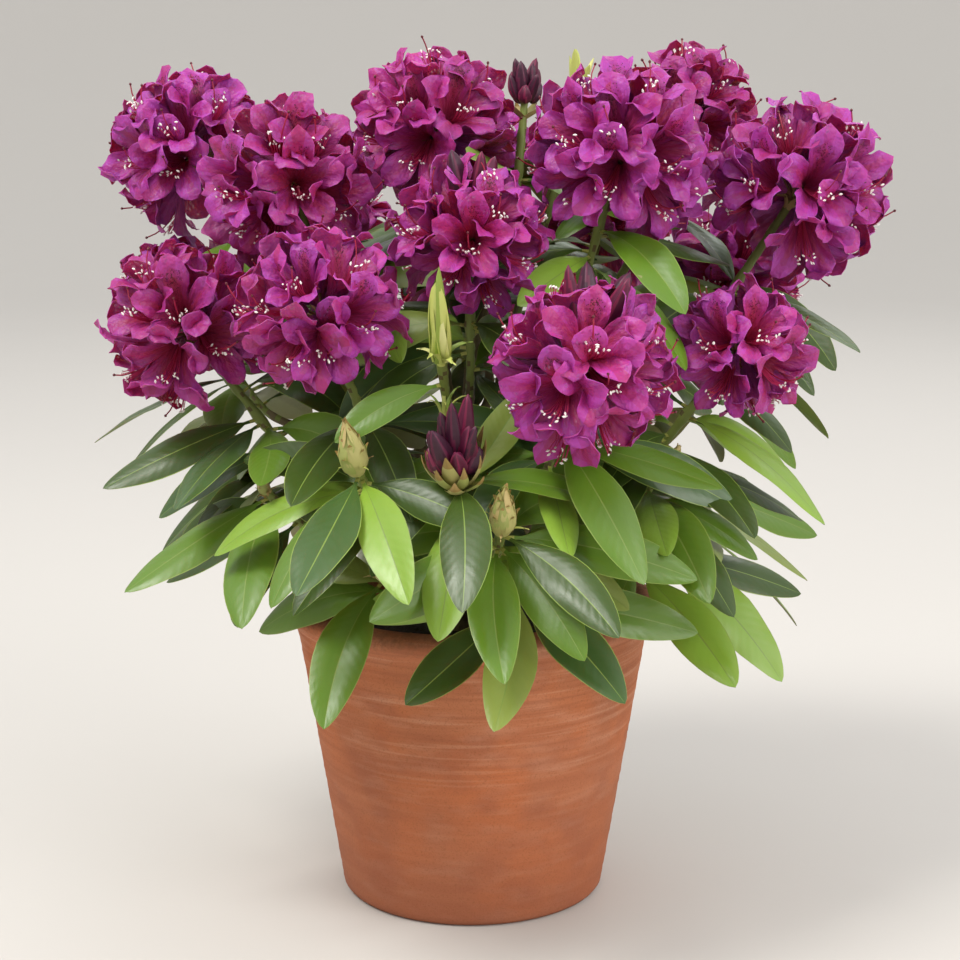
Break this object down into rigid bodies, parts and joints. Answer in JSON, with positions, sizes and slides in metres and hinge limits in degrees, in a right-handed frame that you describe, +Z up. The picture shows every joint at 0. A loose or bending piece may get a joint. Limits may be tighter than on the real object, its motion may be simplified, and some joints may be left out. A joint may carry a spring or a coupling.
{
  "type": "potted rhododendron",
  "caption": "Evergreen rhododendron shrub in flower: domed purple trusses over whorls of leaves on short boughs, in a round terracotta pot with a rolled rim.",
  "frame": {"origin": "middle of the pot's flat foot, level with the ground it stands on", "axes": "+Z up the plant, -Y to the front as pictured, +X to the right"},
  "size_m": [0.5415, 0.4991, 0.5674],
  "materials": {
    "terracotta": "weathered matt",
    "soil": "crumbly",
    "bark": "fissured",
    "blossom": "soft satin petals",
    "leaves": "leathery satin",
    "young_growth": "downy"
  },
  "bodies": {
    "root": {"pot": "terracotta", "soil": "soil", "trunk": "bark", "bough_front": "bark", "bough_front_right": "bark", "bough_right": "bark", "bough_right_back": "bark", "bough_back": "bark", "bough_back_left": "bark", "bough_left": "bark", "bough_left_front": "bark", "bough_front_left": "bark", "bough_centre": "bark", "truss_left_top": "blossom", "truss_left_upper": "blossom", "truss_left_low": "blossom", "truss_front_left": "blossom", "truss_centre_top": "blossom", "truss_centre": "blossom", "truss_right_upper": "blossom", "truss_back_right_top": "blossom", "truss_right_top": "blossom", "truss_front_right": "blossom", "truss_right_low": "blossom", "truss_back_low": "blossom", "truss_back_right": "blossom", "truss_back_left": "blossom", "truss_back_top": "blossom", "truss_right_back_low": "blossom", "truss_left_back_low": "blossom", "buds_back_top": "young_growth", "buds_front": "young_growth", "bud_front_left": "young_growth", "bud_front_low": "young_growth", "young_front": "young_growth", "young_back": "young_growth", "whorl_front": "leaves", "whorl_front_left": "leaves", "whorl_left_front": "leaves", "whorl_right_front": "leaves", "whorl_right_low": "leaves", "whorl_back": "leaves", "whorl_back_left": "leaves", "whorl_back_right": "leaves", "whorl_left": "leaves", "whorl_right": "leaves"}
  },
  "joints": []
}
